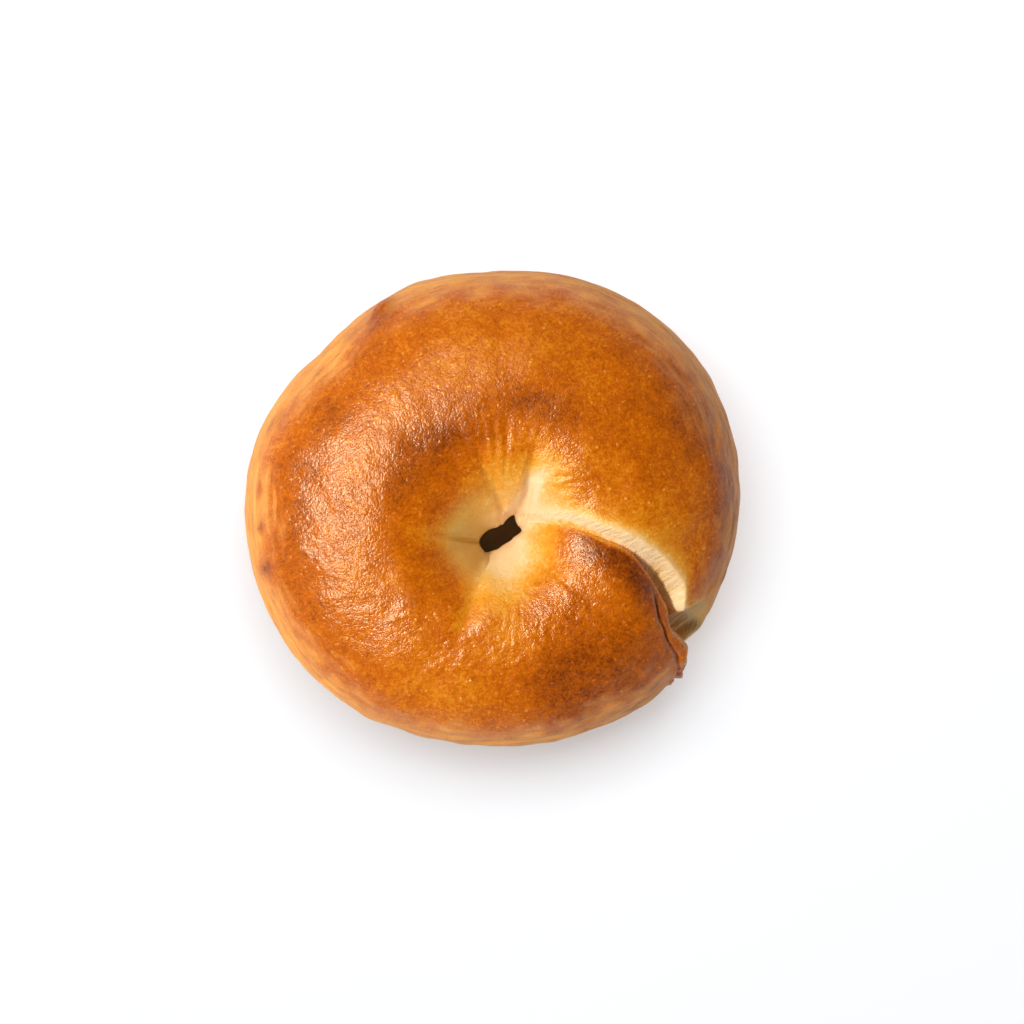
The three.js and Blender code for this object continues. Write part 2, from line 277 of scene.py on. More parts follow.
# %% Across the fold
STEP = (
    (0, 2.4), (0.3, 4.8), (0.45, 6.2), (0.65, 5.4), (1, 3.3), (1.15, 2.2),
    (1.3, 1.0), (1.42, 0.3), (1.52, 0.1), (2, 0.1), (3, 0.4), (4, 1.2), (5, 2.4),
)
RISE_LENGTH = (
    (0, 8), (0.2, 6.5), (0.4, 4.6), (0.48, 6.8), (0.64, 5.9), (0.83, 4.8), (0.92, 4.2),
    (1.2, 3.8), (1.4, 3.2), (1.6, 2.4), (2, 1.2), (3, 3), (4, 4), (4.8, 7), (5, 8),
)
OVERHANG = (
    (0, 1.2), (0.5, 1.4), (1, 1.0), (1.3, 0.6), (1.48, 0.05), (2, 0.05), (4, 0.5), (5, 1.2),
)
HEAD_ROUNDING = ((0, 7), (0.7, 8), (1, 6), (1.5, 3), (2, 1.2), (3, 3), (4, 5), (5, 7))
HEAD_DROP = (
    (0, -0.5), (0.2, -0.5), (0.4, 1.0), (0.6, 2.0), (1, 1.3), (1.3, 0.5), (1.45, 0.1),
    (4, 0.3), (5, -0.5),
)
HOLLOW_EDGE = ((0, 0.6), (0.7, 0.6), (0.95, 0.15), (1.2, 0), (4, 0), (5, 0.6))  # 1 is sharp
LIP_FROM, LIP_TO = 20 * DEG, 150 * DEG
FLANGE_WIDTH = ((0, 2.3), (0.23, 1.9), (0.43, 1.5), (0.56, 2.75), (0.68, 0.9), (4, 0.3), (5, 2.3))
FLANGE_DROP = ((0, -0.5), (0.25, 0), (0.45, 0.5), (1, 0.5), (4, 0.3), (4.85, 0.2), (5, -0.5))
GROOVE_DEPTH, GROOVE_WIDTH = 0.7, 0.4
CRAGS = ((0.2, 0.06, 1.8), (0.02, 0.05, 2.4))  # place, half width in places, mm
CRAG_CURL, CRAG_CURL_REACH = 0.3, 1.2
RAGS = ((0.2, 0.45, -1.4), (1.2, 0.45, 0.5), (3.2, 0.5, 0.7))  # behind the lip, half width, rise
RAG_REACH = 0.16  # up and down from the waist, in places
FLANGE_ENDS = ((0.7, 0.6), (4.7, 4.9))  # places over which it sets in, from above and below
FLANGE_SOFTNESS = 0.4
TAIL_REACH, HEAD_REACH = 1.6, 1.8  # as shares of the rise and the rounding
CROWDING = 1.3  # above 1, columns crowd towards the fold


def flange_at(place):
    """1 near the outer wall, where the head's edge is pressed into a thin flange."""
    above, below = FLANGE_ENDS
    return eased(*above, place) * (place < 2) + eased(*below, place)


def past_waist(place):
    """Signed places past the waist, -2.5 to 2.5."""
    return (place + 2.5) % 5 - 2.5


def torn_at(place):
    """Extra overhang of the crags, for each place."""
    past = past_waist(place)
    return sum(out * np.maximum(0, 1 - np.abs(past - at) / half) for at, half, out in CRAGS)


def head_height(behind, place):
    """Height above the plain rope, at so many mm behind the lip."""
    bend = np.maximum(0, 1 - behind / along(HEAD_ROUNDING, place))
    flange, wide = flange_at(place), along(FLANGE_WIDTH, place)
    on_flange = flange * eased(wide + FLANGE_SOFTNESS, wide - FLANGE_SOFTNESS, behind)
    pressed = along(FLANGE_DROP, place) * on_flange
    groove = GROOVE_DEPTH * flange * hump(behind - wide, GROOVE_WIDTH)
    curled = CRAG_CURL * torn_at(place) * hump(behind, CRAG_CURL_REACH)
    ragged = sum(rise * hump(behind - at, half) for at, half, rise in RAGS)
    curled = curled + ragged * hump(past_waist(place), RAG_REACH)
    return curled - along(HEAD_DROP, place) * bend * bend - pressed - groove


def across_fold(place, tail_columns, head_columns, lip_columns):
    """Columns near the fold, for each row: mm across it and mm above the plain rope."""
    step, rise = along(STEP, place), along(RISE_LENGTH, place)
    reach = along(OVERHANG, place) + torn_at(place)
    contact = along(OVERHANG, place) * (math.sin(LIP_TO) - math.sin(LIP_FROM))
    share = TAIL_REACH * np.linspace(0, 1, tail_columns)[None, :] ** CROWDING
    t = np.minimum(1, share)
    edge = along(HOLLOW_EDGE, place)
    risen = edge * t * t + (1 - edge) * t * t * (3 - 2 * t)
    tail = (contact + share * (rise - contact), -step * (1 - risen))

    share = HEAD_REACH * np.linspace(1, 0, head_columns, endpoint=False)[None, :] ** CROWDING
    behind = share * along(HEAD_ROUNDING, place)
    head = (-behind, head_height(behind, place))

    angle = np.linspace(LIP_FROM, LIP_TO, lip_columns, endpoint=False)[None, :]
    top = head_height(0 * place, place)
    fall = (top + step) / (math.cos(LIP_FROM) - math.cos(LIP_TO))
    lip = (
        reach * (np.sin(angle) - math.sin(LIP_FROM)),
        top - fall * (math.cos(LIP_FROM) - np.cos(angle)),
    )
    return tail, head, lip


# %% [markdown]
# ## The grid of the skin
#
# Each row starts at the foot of the fold, crosses the tail, goes all the way round the ring and
# ends over the head's lip. The last column joins the first, and the last row joins the first
# row, so the skin is closed, as a ring's skin is.

# %% Grid
ROWS = (72, 58, 12, 8, 22)  # in each of the section's five stretches
TAIL_COLUMNS, RING_COLUMNS, HEAD_COLUMNS, LIP_COLUMNS = 30, 494, 38, 14
place = np.concatenate([stretch + np.arange(count) / count for stretch, count in enumerate(ROWS)])
place = place[:, None]
fold, degrees_per_mm = fold_on(place)

tail, head, lip = across_fold(place, TAIL_COLUMNS, HEAD_COLUMNS, LIP_COLUMNS)
tail_turn = tail[0] * degrees_per_mm
head_turn = np.hstack([head[0], lip[0]]) * degrees_per_mm + 360
share = np.arange(1, RING_COLUMNS) / RING_COLUMNS
ring_turn = tail_turn[:, -1:] + (head_turn[:, :1] - tail_turn[:, -1:]) * share
turn = np.hstack([tail_turn, ring_turn, head_turn])
height = np.hstack([tail[1], 0 * ring_turn, head[1], lip[1]])
bearing = fold + turn
distance = section_at(bearing, place)[0]
print("skin grid:", turn.shape, "quads:", turn.size)

# Signed mm across the fold: positive on the tail, negative on the head.
across = np.where(turn < 180, turn, turn - 360) / degrees_per_mm
upper = place < 2  # the outer wall above the waist, and the funnel

# %% [markdown]
# ## Creases, recess and shoulder
#
# Soft creases run up the funnel where the swollen dough met itself. Each is a dent along a line
# whose bearing is a formula of the distance, as the fold's is. The tail's wall stands back next
# to the fold, under a shoulder, because the head was pressed over it.

# %% Creases
CREASES = (  # end bearing, swing, start, reach, depth, width, faded by: degrees and mm
    (43, 33, 6.6, 7, 1.3, 1.0, 25),  # beside the pale lobe
    (76, 28, 4.9, 5, 0.9, 1.5, 26),  # beside the golden lobe
    (150, -19, 5.5, 4, 1.0, 0.5, 17),  # thin crack
    (221, 13, 5.8, 7, 1.0, 1.8, 30),  # soft valley
    (218, 13, 5, 1.8, 0.7, 0.5, 9),  # short nick in that valley, at the hole
    (293, -4, 14, 12, 0.4, 0.7, 46),  # line on the head
)
CREASE_NARROW, CREASE_WIDENS = 0.5, 20  # share of its width at the hole, mm to one width more
CREASE_LEAD = 3  # mm over which it sets in
TAIL_RECESS, TAIL_RECESS_REACH = 1.6, 30
LEDGE_PLACE, LEDGE_FALL, LEDGE_DROP, LEDGE_REACH = 0.58, 0.033, 3.0, 12
LEDGE_EDGE, LEDGE_FOOT = (-0.01, 0.07), (0, 0.12)  # places over which it drops and fades out
LUMPS = ((18, 15, 6.5, 1.0), (66, 17, 6, 0.5), (236, 17, 6, 0.5))  # bearing, distance, spread, rise


def crease_depth(bearing, r, place):
    """Depth of all the creases together, in mm."""
    depth = 0 * bearing
    for end, swing, start, reach, deep, width, until in CREASES:
        middle = end - swing * np.exp(-np.maximum(0, r - start) / reach)
        aside = turn_between(middle, bearing) * DEG * r
        fade = eased(until, 0.6 * until, r) * eased(2, 1.85, place)
        fade = fade * eased(start - CREASE_LEAD, start, r)
        depth = depth + deep * fade * hump(aside, width * (CREASE_NARROW + r / CREASE_WIDENS))
    return depth * (place <= 2)


on_wall = eased(1, 0.4, place) + eased(4, 4.8, place)
recess = TAIL_RECESS * on_wall * hump(turn * DEG * distance, TAIL_RECESS_REACH)
below_ledge = LEDGE_PLACE - LEDGE_FALL * across - place
ledge = LEDGE_DROP * eased(*LEDGE_EDGE, below_ledge) * eased(*LEDGE_FOOT, place)
ledge = ledge * eased(LEDGE_REACH, 0.5 * LEDGE_REACH, across) * (across > 0) * (turn < 180)
lumps = sum(
    rise * np.exp(-((turn_between(at, bearing) * DEG * out) ** 2 + (distance - out) ** 2) / spread**2)
    for at, out, spread, rise in LUMPS
)
height = height - recess - ledge - crease_depth(bearing, distance, place) + lumps * upper
form = plain_points(bearing, place) + plain_normals(bearing, place) * height[..., None]
low, high = form.reshape(-1, 3).min(0), form.reshape(-1, 3).max(0)
middle = np.array([*(low + high)[:2] / 2, 0])
form = form - middle
print("form, mm:", (high - low).round(1), "hole at", (-middle[:2]).round(2))

# %% [markdown]
# ## Relief of the crust
#
# The crust isn't smooth. Steam lifted it, it sank back as it cooled, and the skin wrinkled like
# leather: low domes with thin valleys between them. What is coarser than about 2 mm goes into
# the mesh here, and what is finer is left to the material. Gradient noise gives such forms:
# plain, it is uneven dough, and its distance from zero gives domes between sharp valleys. Read in
# bearing and distance instead of millimetres, it gives pleats that run up the funnel.
#
# A zone is a soft patch, given by bearing, half width in degrees, distance, half depth in mm and
# strength. One table of zones says where the crust is wrinkled.

# %% Noise and zones
def rough(points, seed):
    """Gradient noise, about -0.5 to 0.5, one cell per unit, at each point of an array."""
    shifted = points.reshape(-1, points.shape[-1]) + 31.7 * seed
    return np.array([noise.noise(point) for point in shifted.tolist()]).reshape(points.shape[:-1])


def zones(table):
    """Sum of a table's soft patches over the whole grid."""
    return sum(
        strength * hump(turn_between(at, bearing), wide) * hump(distance - out, deep)
        for at, wide, out, deep, strength in table
    )


def grid_normals(points):
    """Outward normals of the closed grid, from each point's neighbours."""
    round_ring = np.roll(points, -1, 1) - np.roll(points, 1, 1)
    up_section = np.roll(points, -1, 0) - np.roll(points, 1, 0)
    return normal_to(round_ring, up_section)


# The flat base keeps no relief, and wrinkles are on the top and in the funnel only.
off_base = eased(2.9, 2.6, place) + eased(4.1, 4.5, place)
on_top = eased(0.15, 0.4, place) * eased(2.0, 1.8, place)
head_side = turn > 180
tail_side = (turn < 180) & (across > 0)

# Mm along the section: it grows from the waist over the top and down the hole, and below the
# waist it is negative, so that its jump is under the base.
section_mm = np.cumsum(np.linalg.norm(np.diff(form, axis=0, append=form[:1]), axis=-1), axis=0)
section_mm = section_mm - section_mm[-1] * (place > 3.5)

# %% Wrinkles, pleats and stretch marks
WRINKLED = (
    (150, 62, 36, 10, 1.0),  # broad band on the thin side
    (20, 26, 23, 7, 0.9),  # lobe beside the fold
    (268, 36, 22, 9, 0.9),  # head, on the way up from the hole
    (310, 22, 26, 9, 0.7),  # head, beside the fold
    (60, 40, 36, 9, 0.4),
)
WIDE_WRINKLE, FINE_WRINKLE = (3.4, 0.3), (1.8, 0.2)  # size and height, mm
DOME_LEVEL = 0.15  # of the noise: the valleys lie below it, the domes above
SWIRL_SIZE, SWIRL_SHIFT = 8, 2.4  # mm: bends the wrinkles, so that they don't line up
PLEATED = ((66, 24, 21, 8, 1.0), (15, 16, 20, 7, 0.5))
PLEAT_TURN, PLEAT_LENGTH, PLEAT_HEIGHT = 3.6, 16, 0.4
FIBRE_WIDTH, FIBRE_LENGTH, FIBRE_HEIGHT = 2.6, 6, 0.22
FIBRE_SLANT = 40 * DEG
FIBRE_CALM = 0.3  # share of the fibres' height where the hollow nears the hole
TEARS = (  # place, then mm: across the fold, half length, half width, depth
    (0.647, 2.9, 1.5, 0.45, 0.6),
    (0.58, 2.6, 1.0, 0.5, 0.5),
)
GROOVED = ((12, 15, 22, 6, 1.0),)
GROOVE_SLANT, GROOVE_LENGTH, GROOVE_PITCH, GROOVE_HEIGHT = 25 * DEG, 3.6, 1.1, 0.35
UNEVEN = ((13, 0.5), (5.5, 0.22))  # size and height, mm
UNEVEN_BELOW = 0.4  # share of it under the shoulder

swirl = SWIRL_SHIFT * np.stack([rough(form / SWIRL_SIZE, seed) for seed in (11, 12, 13)], -1)
wrinkled = np.clip(zones(WRINKLED), 0, 1) * on_top
wrinkles = sum(
    rise * wrinkled * (np.abs(rough((form + swirl) / size, seed)) - DOME_LEVEL)
    for seed, (size, rise) in enumerate((WIDE_WRINKLE, FINE_WRINKLE), start=5)
)
pleat_map = np.stack([bearing / PLEAT_TURN, distance / PLEAT_LENGTH, 0 * bearing], -1)
pleats = PLEAT_HEIGHT * zones(PLEATED) * on_top * rough(pleat_map, 4)

# Short grooves beside the fold, drawn on a skewed map of the top.
slant = np.array([math.cos(GROOVE_SLANT), math.sin(GROOVE_SLANT)])
along_groove = form[..., :2] @ slant / GROOVE_LENGTH
over_groove = form[..., :2] @ -slant[::-1] / GROOVE_PITCH
groove_map = np.stack([along_groove, over_groove, 0 * turn], -1)
grooves = GROOVE_HEIGHT * zones(GROOVED) * on_top * rough(groove_map, 14)

# Fibres in the stretched hollow, drawn out slantwise, with two torn notches.
strip = along(RISE_LENGTH, place)
hollow = tail_side * eased(0, 0.6, across) * eased(1.2, 0.85, across / strip) * eased(2, 1.8, place)
up_wall = section_mm + 0 * across
along_fibre = across * math.cos(FIBRE_SLANT) + up_wall * math.sin(FIBRE_SLANT)
over_fibre = up_wall * math.cos(FIBRE_SLANT) - across * math.sin(FIBRE_SLANT)
fibre_map = np.stack([along_fibre, over_fibre, 0 * turn], -1)
calmed = FIBRE_CALM + (1 - FIBRE_CALM) * eased(0.85, 0.7, place)
fibres = FIBRE_HEIGHT * calmed * hollow
fibres = fibres * rough(fibre_map / [FIBRE_LENGTH, FIBRE_WIDTH, 1], 6)
for at, aside, long, wide, deep in TEARS:
    row = np.argmin(np.abs(place - at))
    column = np.argmin(np.abs(across[row] - aside))
    torn = hump(along_fibre - along_fibre[row, column], long)
    torn = torn * hump(over_fibre - over_fibre[row, column], wide)
    fibres = fibres - deep * tail_side * torn

uneven = sum(rise * rough(form / size, seed) for seed, (size, rise) in enumerate(UNEVEN, start=1))
uneven = uneven * (UNEVEN_BELOW + (1 - UNEVEN_BELOW) * on_top)
print("wrinkles, mm:", wrinkles.min().round(2), "to", wrinkles.max().round(2))

# %% [markdown]
# Blisters are low domes where a bubble of steam lifted the skin. They are scattered by a seeded
# draw over the parts of the ring that have them, and each one raises the points within its radius.

# %% Blisters
BLISTER_FIELDS = (  # bearing from and to, distance from and to, count
    (212, 292, 24, 44, 110),
    (120, 212, 28, 50, 50),
    (0, 120, 38, 56, 40),
    (330, 360, 30, 50, 14),
)
BLISTER_RADIUS = (0.8, 1.4)
BLISTER_SHARE = 0.16  # height over radius
SMALLER_OFTENER = 2  # above 1, small blisters are the common ones
BLISTER_FULLNESS = 1.3  # 1 is a paraboloid, more is leaner at the foot


def blisters(seed):
    """Height of all the blisters together, in mm."""
    draw = np.random.default_rng(seed)
    lifted = 0 * distance
    for start, end, near, far, count in BLISTER_FIELDS:
        for _ in range(count):
            at, out = draw.uniform(start, end), draw.uniform(near, far)
            larger = draw.uniform(0, 1) ** SMALLER_OFTENER
            radius = BLISTER_RADIUS[0] + np.ptp(BLISTER_RADIUS) * larger
            aside = turn_between(at, bearing) * DEG * out
            dome = 1 - (aside**2 + (distance - out) ** 2) / radius**2
            dome = np.maximum(0, dome) ** BLISTER_FULLNESS
            lifted = np.maximum(lifted, BLISTER_SHARE * radius * dome)
    return lifted * upper


# %% [markdown]
# Below a soft shoulder the outer wall stands back a little. It was shaded by the shoulder, so it
# stayed paler and dried in fine creases along the rim. In one place the browned skin of the top
# ends in a raised corner.

# %% Shoulder and corner
SHOULDER_PLACE, SHOULDER_SOFTNESS, SHOULDER_DROP = 0.29, 0.17, 0.1
SHOULDER_SWELLS = ((88, 7, -0.12), (105, 10, 0.07), (10, 30, 0.08))  # lower at the corner
RIM_CREASE_LENGTH, RIM_CREASE_WIDTH, RIM_CREASE_HEIGHT = 7, 1.6, 0.45
CORNER_BEARING, CORNER_PLACE, CORNER_RISE = 88, 0.21, 1.2
CORNER_WIDE, CORNER_DEEP = 3, 0.06  # degrees and places
SHOULDER_WAVES = (((16, 30, 1), 0.12), ((5, 2.5, 1), 0.14))  # mm along and up, swing in places
RIM_RADIUS = 57

rim_map = np.stack([turn * DEG * RIM_RADIUS, section_mm, 0 * turn], -1)
wavy = sum(
    swing * rough(rim_map / size, seed) for seed, (size, swing) in enumerate(SHOULDER_WAVES, start=8)
)
below_shoulder = SHOULDER_PLACE + swelling(bearing, SHOULDER_SWELLS) - place - wavy
side = eased(-SHOULDER_SOFTNESS, SHOULDER_SOFTNESS, below_shoulder)
side = side * upper + eased(4.2, 4.6, place)
rim_creases = rough(rim_map / [RIM_CREASE_LENGTH, RIM_CREASE_WIDTH, 1], 10)
rim_creases = RIM_CREASE_HEIGHT * side * rim_creases
corner = hump(turn_between(CORNER_BEARING, bearing), CORNER_WIDE)
corner = CORNER_RISE * corner * hump(place - CORNER_PLACE, CORNER_DEEP)

on_dough = uneven + wrinkles + pleats + grooves + fibres
relief = on_dough + blisters(seed=7) - SHOULDER_DROP * side + rim_creases + corner
skin = form + grid_normals(form) * (relief * off_base)[..., None]
print("relief, mm:", relief.min().round(2), "to", relief.max().round(2))

# %% [markdown]
# ## How far each place browned
#
# Browning isn't even. The crest is browned, the dough round the hole and in the tail's hollow
# stayed pale because it was shaded or stretched late, and the wall below the shoulder is paler
# than the top. Each of these is a soft field over the grid, from 0 for raw cream to 1 for the
# darkest brown, and the material reads the sum as a mesh attribute.

# %% Browning
TOP_BROWN = 0.585
CREAM_REACH, BROWN_REACH = 5.6, 16  # mm from the middle of the hole
CREAM_SOFTNESS = (-2.5, 1.5)  # mm over which the cream ends
CREAM_STEP = 0.3  # share of the browning that is gained there, the rest on the way up
CREAM_SWELLS = (
    (28, 11, 11), (6, 20, 7),  # pale lobe
    (150, 11, 2), (255, 50, 5),  # pale fan at the far end and below the hole
)
BROWN_SWELLS = ((50, 26, 13), (10, 20, 8), (150, 11, 5), (218, 10, 8), (245, 25, 5))
# browning zones; two are painted light: a sheen below the hole, and shade along the thin crack
BROWNER_AND_PAINTED_LIGHT = (  # zones: bearing, half width, distance, half depth, browning
    (104, 40, 26, 6, 0.2), (92, 26, 29, 5, 0.08),  # dark arc on the way up from the hole
    (42, 18, 33, 5, 0.2),  # crest outside the pale lobe
    (75, 40, 44, 8, -0.06), (5, 24, 46, 12, 0.08), (10, 34, 53, 6, 0.03),  # fat side
    (90, 6, 59, 3, 0.22),  # raised corner
    (277, 25, 42, 18, 0.2), (262, 16, 34, 12, 0.08), (300, 14, 16, 5, -0.1),  # head
    (352, 24, 29, 8, -0.03), (332, 14, 40, 7, -0.12), (328, 16, 53, 5, 0.06),  # tail by the fold
    (140, 55, 48, 7, 0.14), (222, 14, 40, 8, -0.08),  # thin side
    # the first of these is paler as a painted sheen below the hole
    (250, 22, 25, 8, -0.12), (272, 22, 11, 3.5, 0.2),  # below the hole
    (120, 60, 8, 6, 0.22), (195, 45, 11, 6, 0.08),  # funnel, round its far side
    (158, 26, 10.5, 3.5, -0.3),  # far end of the hole
    # the thin crack's dark line is painted shade
    (149.5, 1.6, 11, 4.5, 0.42),  # thin crack
)
RIDGE_FADE = ((0.6, -1.4, 2.4), (0.4, -0.5, 6))  # share, and mm past the hollow from and to

cream_reach = CREAM_REACH + swelling(bearing, CREAM_SWELLS)
brown_reach = BROWN_REACH + swelling(bearing, BROWN_SWELLS)
cream_end = eased(*(cream_reach + past for past in CREAM_SOFTNESS), distance)
up_funnel = CREAM_STEP * cream_end + (1 - CREAM_STEP) * eased(cream_reach, brown_reach + 2, distance)
past_ridge = sum(part * eased(near, far, across - strip) for part, near, far in RIDGE_FADE)
past_ridge = np.where(tail_side, past_ridge, 1)
browning = (TOP_BROWN + zones(BROWNER_AND_PAINTED_LIGHT)) * np.maximum(up_funnel, zones(BROWNER_AND_PAINTED_LIGHT)) * past_ridge

# %% [markdown]
# Next to the fold the browning follows the shape. The head's edge stood up into the heat and is
# darkest, but its lip, turned under, is pale. Across the fold a painted shadow darkens the tail
# along the foot of the lip, and painted shade makes the hollow olive rather than brown where the
# lip shades it and below the ledge. The ledge's edge gets a paler line as a painted highlight.
# Round the far end of the hole painted shade makes the cream yellower, and the wall gets dark
# spots and painted shade on the side away from the lamps.

# %% Browning beside the fold and on the wall
HEAD_EDGE_BROWN, SIDE_PALE, UNDER_BROWN = 0.28, 0.1, 0.55
LIP_PALE, LIP_PALER_INSIDE = 0.35, 0.4
# the ledge's edge is made paler as a painted highlight
LEDGE_BROWN, LEDGE_RIM_HIGHLIGHT, LEDGE_RIM_DEEP = 0.2, 0.25, 0.025
# painted shade: the hollow is a little browner where the lip shades it
# painted shadow: the tail is browner along the foot of the lip
LIP_SHADOW_BROWN, LIP_CONTACT_SHADOW = 0.05, 0.32
# olive mixed in as painted shade, where the lip shades the hollow and below the ledge
LIP_SHADOW_OLIVE, LEDGE_SHADE_OLIVE = 0.6, 0.7
# yellow cream mixed in as painted shade round the hole's far end
SHADE_YELLOW_SHARE, SHADE_YELLOW_BEARING, SHADE_YELLOW_SPREAD = 0.6, 155, 70
LEDGE_FIBRES = 1.4  # strength of the fibres below the ledge
# dark spots on the wall, and painted shade on the side away from the lamps
WALL_SPOTS_AND_SHADE = (  # zones
    (159, 2, 56, 1.6, 1), (149.5, 1.5, 56.8, 1.2, 0.8), (140, 1.6, 57.6, 1.2, 0.5),
    (348, 30, 57, 5, 0.35),  # the shaded side
)
WALL_SPOT_AND_SHADE_BROWN = 0.3
BELOW_WAIST_CALM = 0.6  # share of the wall's streaks that is lost below the waist

head_edge = head_side * eased(-8, -2, across) * eased(12, 24, distance) * eased(0.5, 0.8, place)
browning = browning + HEAD_EDGE_BROWN * head_edge
lip_edge = head_side * eased(-0.4, 0.7, across)
browning = browning * (1 - lip_edge * (LIP_PALE + LIP_PALER_INSIDE * eased(0.7, 1.1, place)))
browning = browning - SIDE_PALE * side * upper

near_fold = tail_side * eased(LEDGE_REACH, 0.7 * LEDGE_REACH, across) * upper
below_step = eased(0, 0.06, below_ledge) * near_fold
browning = browning * (1 - below_step) + LEDGE_BROWN * below_step
# a paler line along the ledge's edge: a painted highlight
ledge_rim_highlight = hump(below_ledge, LEDGE_RIM_DEEP) * eased(3, 5, across) * near_fold
browning = browning - LEDGE_RIM_HIGHLIGHT * ledge_rim_highlight
# painted shade in the hollow, where the lip shades it
lip_shadow = tail_side * eased(6, 1.5, across) * eased(0.78, 0.66, place) * upper * (1 - below_step)
browning = browning + LIP_SHADOW_BROWN * lip_shadow
# a painted shadow on the tail along the foot of the lip
lip_contact_shadow = tail_side * eased(1.9, 0.3, across) * eased(0.72, 0.8, place) * eased(1.6, 1.3, place)
browning = browning + LIP_CONTACT_SHADOW * lip_contact_shadow

under = eased(2.1, 2.7, place) * eased(4.9, 4.4, place)
browning = browning * (1 - under) + UNDER_BROWN * under
# darker at the wall's spots, and as painted shade on the side away from the lamps
browning = browning + WALL_SPOT_AND_SHADE_BROWN * zones(WALL_SPOTS_AND_SHADE)

# olive as painted shade, beside the lip and below the ledge
painted_shade = LIP_SHADOW_OLIVE * lip_shadow + LEDGE_SHADE_OLIVE * below_step
# yellow cream as painted shade round the hole's far end
shade_yellowed = hump(turn_between(SHADE_YELLOW_BEARING, bearing), SHADE_YELLOW_SPREAD) * eased(15, 9, distance)
shade_yellowed = SHADE_YELLOW_SHARE * shade_yellowed * (place < 3)
stretched = np.maximum(hollow, LEDGE_FIBRES * below_step)
on_head_edge = head_side * eased(-7, -2, across)
# less tan at the wall's spots and in that painted shade
off_spots_and_shade = 1 - np.clip(zones(WALL_SPOTS_AND_SHADE), 0, 1)
side_tan = side * (1 - below_step) * (1 - on_head_edge) * off_spots_and_shade
streaked = side_tan * (1 - BELOW_WAIST_CALM * (place > 2) * eased(5, 4.8, place))
print("browning:", browning.min().round(2), "to", browning.max().round(2))

# %% [markdown]
# ## The mesh
#
# The points become one closed mesh of quads, smooth shaded. The fields that the material needs
# ride along as point attributes: how far it browned, how tan or streaked it is, where painted
# shade makes it olive or yellow, where it is wrinkled or stretched, and two flat maps of the
# dough's surface in millimetres, in which streaks and fibres can be drawn out one way.

# %% Mesh
def closed_grid(name, points):
    """An object whose grid of points, in mm, is joined to itself both ways."""
    index = np.arange(points[..., 0].size).reshape(points.shape[:2])
    beside, above = np.roll(index, -1, 1), np.roll(index, -1, 0)
    quads = np.stack([index, beside, np.roll(above, -1, 1), above], -1).reshape(-1, 4)
    mesh = bpy.data.meshes.new(name)
    mesh.vertices.add(index.size)
    mesh.vertices.foreach_set("co", (points * MM).reshape(-1).astype(np.float32))
    mesh.loops.add(quads.size)
    mesh.loops.foreach_set("vertex_index", quads.reshape(-1).astype(np.int32))
    mesh.polygons.add(len(quads))
    mesh.polygons.foreach_set("loop_start", np.arange(0, quads.size, 4, dtype=np.int32))
    mesh.update(calc_edges=True)
    mesh.shade_smooth()
    obj = bpy.data.objects.new(name, mesh)
    bpy.context.scene.collection.objects.link(obj)
    return obj


def carry(obj, name, values):
    """Stores one number per point, or three if the array has a last axis of three."""
    kind, field = ("FLOAT_VECTOR", "vector") if values.ndim == 3 else ("FLOAT", "value")
    attribute = obj.data.attributes.new(name, kind, "POINT")
    attribute.data.foreach_set(field, values.astype(np.float32).reshape(-1))


crust = closed_grid("bagel_crust", skin)
for name, values in {
    "browning": browning,
    "side": np.clip(side_tan, 0, 1),
    "stretched": stretched,
    "painted_shade": painted_shade,
    "shade_yellowed": shade_yellowed,
    "streaked": streaked,
    "wrinkled": wrinkled,
    "dough_map": rim_map * MM,
    "fibre_map": fibre_map * MM,
}.items():
    carry(crust, name, values + 0 * (bearing if values.ndim == 2 else form))
print("mesh:", len(crust.data.vertices), "points,", len(crust.data.polygons), "quads")

# %% [markdown]
# ## The crust's material
#
# Baked crust is dry starch gel and browned sugars: a thin, slightly glossy skin, because a bagel
# is boiled before it is baked. Its colour comes from the browning, through a ramp of sRGB colours
# turned to linear light. The mesh attribute gives the broad browning, and noise at four real
# sizes mottles it. Small pale spots, partly pale blisters and partly painted glints, are scattered
# by Voronoi cells. On the wall, where the dough had little dry heat, a tan is mixed in. Olive is
# mixed in as painted shade where the lip shades the hollow and below the ledge, and a yellow
# cream as painted shade round the far end of the hole.

# %% Node helper
def linear(hex_colour):
    """sRGB hex to linear red, green, blue and full alpha."""
    channels = [int(hex_colour[i : i + 2], 16) / 255 for i in (0, 2, 4)]
    return [c / 12.92 if c <= 0.04045 else ((c + 0.055) / 1.055) ** 2.4 for c in channels] + [1]


def add(kind, inputs, output=0, tree=None, **settings):
    """Adds one shader node, sets or links its inputs and returns one of its outputs."""
    tree = tree or material.node_tree
    made = tree.nodes.new("ShaderNode" + kind)
    for name, value in settings.items():
        setattr(made, name, value)
    for name, value in inputs.items():
        if isinstance(value, bpy.types.NodeSocket):
            tree.links.new(value, made.inputs[name])
        else:
            made.inputs[name].default_value = value
    return made.outputs[output]


material = bpy.data.materials.new("baked_crust")
material.use_nodes = True
tree = material.node_tree
shader = tree.nodes["Principled BSDF"]

# %% Where and how browned
PATCHES = ((6.0, 0.24), (1.7, -0.24), (0.8, -0.3), (0.46, -0.36))  # mm, swing in browning
SPOT_CELL, SPOT_RADIUS = 2.1, 0.55  # mm
